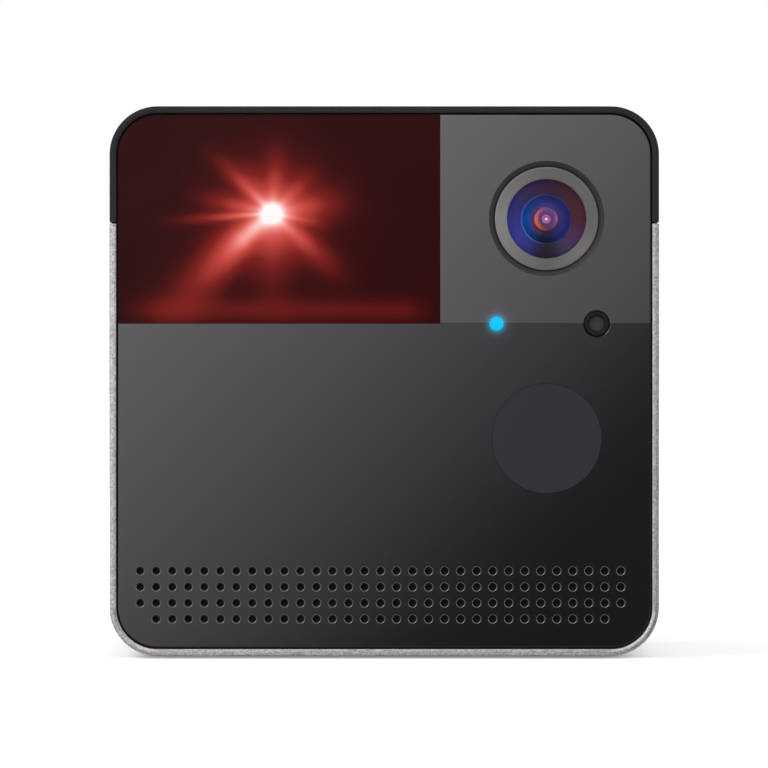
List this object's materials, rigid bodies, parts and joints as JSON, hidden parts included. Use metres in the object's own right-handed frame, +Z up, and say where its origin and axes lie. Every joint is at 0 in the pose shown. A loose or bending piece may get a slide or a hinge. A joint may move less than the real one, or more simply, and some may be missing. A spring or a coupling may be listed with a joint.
{
  "type": "laser pet camera",
  "caption": "Cube-shaped pet camera: a steered red laser behind a tinted window, a wide-angle eye, night lamps, microphone, loudspeaker grille and a tripod thread below.",
  "frame": {"origin": "on the table, under the middle of the cube's bounding box", "axes": "+X to the viewer's right when facing the eye, +Y from the front to the back, +Z up"},
  "size_m": [0.08, 0.084, 0.0805],
  "materials": {
    "shell_aluminium": "bead blasted, clear anodised",
    "cap_plastic": "fine matt texture",
    "moulding_black": "matt moulded",
    "window_red": "polished, deep red tint",
    "panel_dark": "polished",
    "panel_grey": "polished",
    "infrared_dark": "polished, passes infrared",
    "bezel_grey": "satin",
    "clear_glass": "polished, coated",
    "lens_black": "matt",
    "lamp_clear": "polished",
    "lamp_cyan": "lit",
    "rubber_black": "matt",
    "mesh_black": "woven",
    "steel": "plain",
    "screw_black": "black oxide",
    "brass": "turned",
    "board_green": "solder mask",
    "chip_black": "moulded",
    "fin_aluminium": "extruded",
    "gear_white": "moulded",
    "cone_black": "matt paper",
    "magnet_grey": "plated"
  },
  "bodies": {
    "housing": {"body_shell": "shell_aluminium", "top_cap": "cap_plastic", "laser_window": "window_red", "camera_panel": "panel_grey", "grille_panel": "panel_dark", "infrared_window": "infrared_dark", "front_frame": "moulding_black", "inner_chassis": "moulding_black", "rear_cover": "cap_plastic", "reset_switch": "chip_black", "power_socket": "steel", "foot_pad": "rubber_black", "tripod_insert": "brass", "lens_bezel": "bezel_grey", "lens_glass": "clear_glass", "lens_barrel": "lens_black", "lens_inner_element": "clear_glass", "lens_holder": "lens_black", "camera_board": "board_green", "image_sensor": "chip_black", "lamp_light_pipe": "lamp_clear", "status_lamp": "lamp_cyan", "microphone_boot": "rubber_black", "microphone_capsule": "steel", "microphone_mesh": "mesh_black", "sensor_board": "board_green", "infrared_board": "board_green", "infrared_lamps": "clear_glass", "speaker_mesh": "mesh_black", "speaker_gasket": "rubber_black", "speaker_basket": "steel", "speaker_magnet": "magnet_grey", "main_board": "board_green", "processor": "chip_black", "heat_sink": "fin_aluminium", "radio_module": "steel", "board_connectors": "moulding_black", "gimbal_base": "moulding_black", "pan_axle": "steel", "pan_motor": "steel", "front_frame_screws": "screw_black", "rear_cover_screws": "screw_black", "board_screws": "screw_black", "speaker_screws": "screw_black", "gimbal_screws": "screw_black"},
    "pan_head": {"pan_yoke": "gear_white", "tilt_motor": "steel", "tilt_motor_screws": "screw_black"},
    "laser_head": {"laser_cradle": "moulding_black", "laser_barrel": "brass", "laser_lens": "clear_glass", "laser_driver_board": "board_green", "tilt_gear": "gear_white", "tilt_pins": "steel"},
    "pan_drive": {"pan_pinion": "gear_white"},
    "tilt_drive": {"tilt_pinion": "gear_white"},
    "night_filter": {"filter_shutter": "moulding_black"},
    "reset_key": {"reset_button": "cap_plastic", "switch_plunger": "chip_black"},
    "voice_cone": {"speaker_cone": "cone_black"}
  },
  "joints": [
    {"name": "laser_pan", "type": "hinge", "parent": "housing", "child": "pan_head", "pos_m": [-0.0163, -0.025, 0.05165], "axis": [0, 0, 1], "range_deg": [-35, 35]},
    {"name": "pan_pinion_spin", "type": "hinge", "parent": "housing", "child": "pan_drive", "pos_m": [-0.0033, -0.025, 0.05165], "axis": [0, 0, 1], "range_deg": [-117, 117]},
    {"name": "laser_tilt", "type": "hinge", "parent": "pan_head", "child": "laser_head", "pos_m": [-0.0163, -0.025, 0.0649], "axis": [1, 0, 0], "range_deg": [-15, 35]},
    {"name": "tilt_pinion_spin", "type": "hinge", "parent": "pan_head", "child": "tilt_drive", "pos_m": [-0.0163, -0.01517, 0.05802], "axis": [1, 0, 0], "range_deg": [-106, 46]},
    {"name": "filter_slide", "type": "slide", "parent": "housing", "child": "night_filter", "axis": [-1, 0, 0], "range_m": [0, 0.0048]},
    {"name": "reset_press", "type": "slide", "parent": "housing", "child": "reset_key", "axis": [0, -1, 0], "range_m": [0, 0.0005], "stiffness_N_per_m": 2000, "springref_m": -0.0002},
    {"name": "cone_stroke", "type": "slide", "parent": "housing", "child": "voice_cone", "axis": [0, 1, 0], "range_m": [-0.0004, 0.0004], "stiffness_N_per_m": 1500}
  ],
  "couplings": [
    {"joint": "pan_pinion_spin", "follows": "laser_pan", "ratio": -3.3333},
    {"joint": "tilt_pinion_spin", "follows": "laser_tilt", "ratio": -3}
  ]
}
